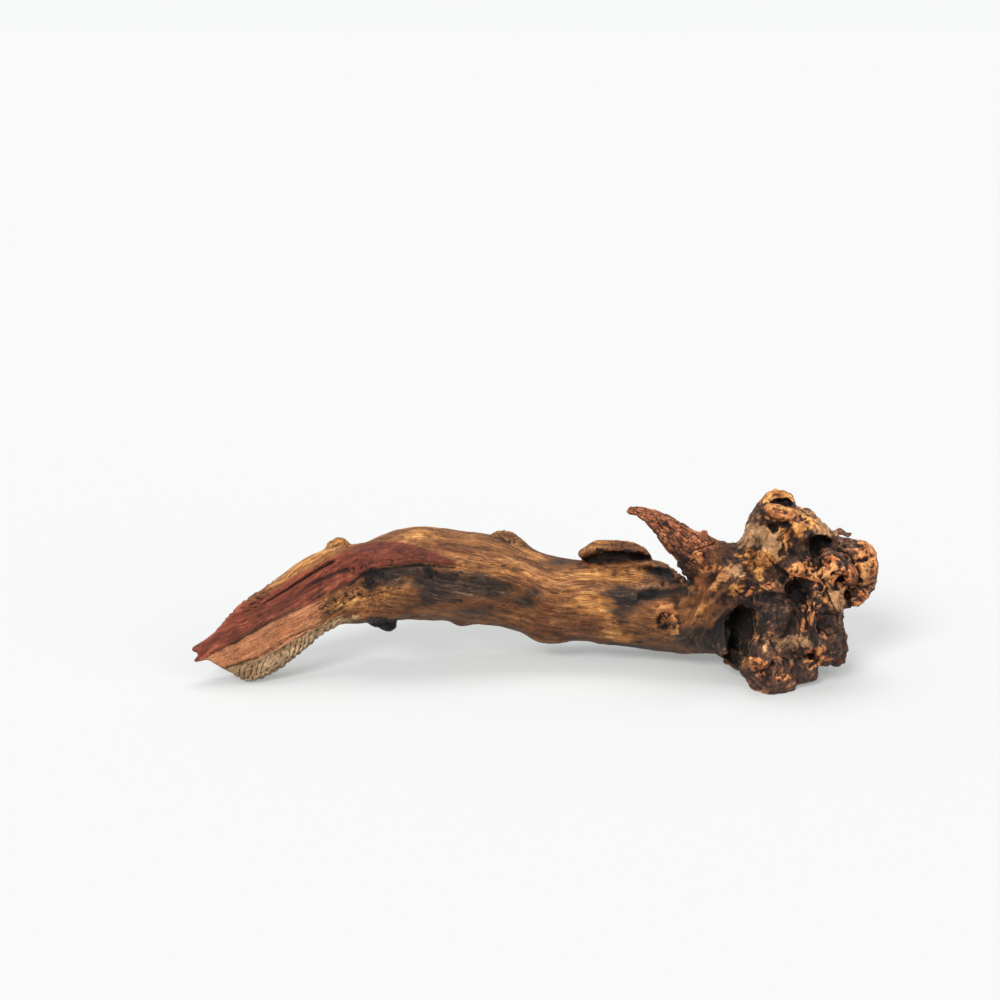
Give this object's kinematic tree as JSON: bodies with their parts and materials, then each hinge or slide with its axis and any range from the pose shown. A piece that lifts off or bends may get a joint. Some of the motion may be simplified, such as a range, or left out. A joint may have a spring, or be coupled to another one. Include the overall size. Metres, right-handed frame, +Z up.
{
  "type": "bog wood trunk",
  "caption": "Weathered dark driftwood trunk, split along its grain at one end, with a broken side branch and a knotted root crown, lying on three feet.",
  "frame": {"origin": "middle of the bounding box on the floor that the piece rests on", "axes": "+X along the trunk from its split end to its root crown, -Y the front with the split face, +Z up"},
  "size_m": [0.4021, 0.1069, 0.1101],
  "materials": {
    "trunk_wood": "dry weathered wood: golden brown sapwood with dark streaks, brick red split heartwood, dark cracked bark on the crown"
  },
  "bodies": {
    "root": {"trunk": "trunk_wood"}
  },
  "joints": []
}
